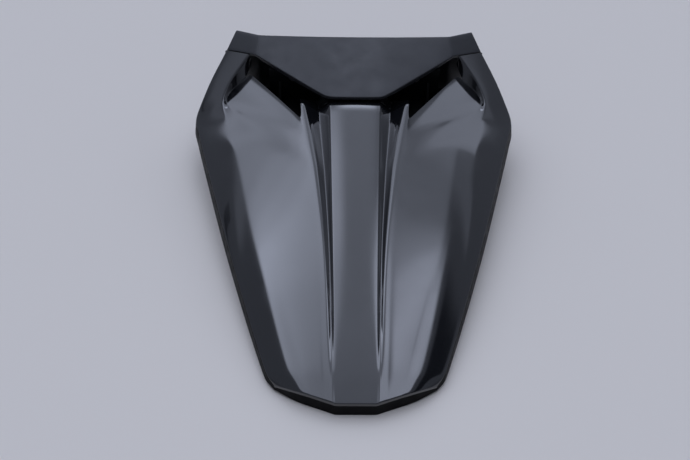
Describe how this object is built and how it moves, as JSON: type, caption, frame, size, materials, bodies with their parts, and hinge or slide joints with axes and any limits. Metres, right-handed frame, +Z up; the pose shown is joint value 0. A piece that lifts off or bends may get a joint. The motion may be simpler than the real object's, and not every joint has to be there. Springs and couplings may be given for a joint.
{
  "type": "motorbike seat cowl",
  "caption": "Clip-on cover in place of a motorbike's pillion seat: a gloss shell with scoops and a raised spine, a matte front trim and a ribbed base with latch striker and hooks.",
  "frame": {"origin": "middle of the length and width, on the ground that the cowl lies on", "axes": "+Y towards the front of the motorbike, where the rider sits; +X to the right; +Z up"},
  "size_m": [0.253, 0.3128, 0.0875],
  "materials": {
    "gloss_shell": "high gloss lacquered black",
    "matte_trim": "fine-grained satin black",
    "base_plastic": "moulded black, slightly ribbed and matt",
    "striker_steel": "black coated steel",
    "plated_steel": "zinc plated",
    "rubber": "matt black rubber"
  },
  "bodies": {
    "root": {"cowl_shell": "gloss_shell", "front_trim": "matte_trim", "base_plate": "base_plastic", "striker_plate": "striker_steel", "striker_bar": "striker_steel", "striker_bolt_right": "plated_steel", "striker_bolt_left": "plated_steel", "striker_washer_right": "plated_steel", "striker_washer_left": "plated_steel", "striker_nut_right": "plated_steel", "striker_nut_left": "plated_steel", "front_damper_right": "rubber", "front_damper_left": "rubber", "rear_damper_right": "rubber", "rear_damper_left": "rubber", "tail_screw_right": "plated_steel", "tail_screw_left": "plated_steel", "middle_screw_right": "plated_steel", "middle_screw_left": "plated_steel", "shoulder_screw_right": "plated_steel", "shoulder_screw_left": "plated_steel", "tab_screw_right": "plated_steel", "tab_screw_left": "plated_steel", "apron_screw_right": "plated_steel", "apron_screw_left": "plated_steel"}
  },
  "joints": []
}
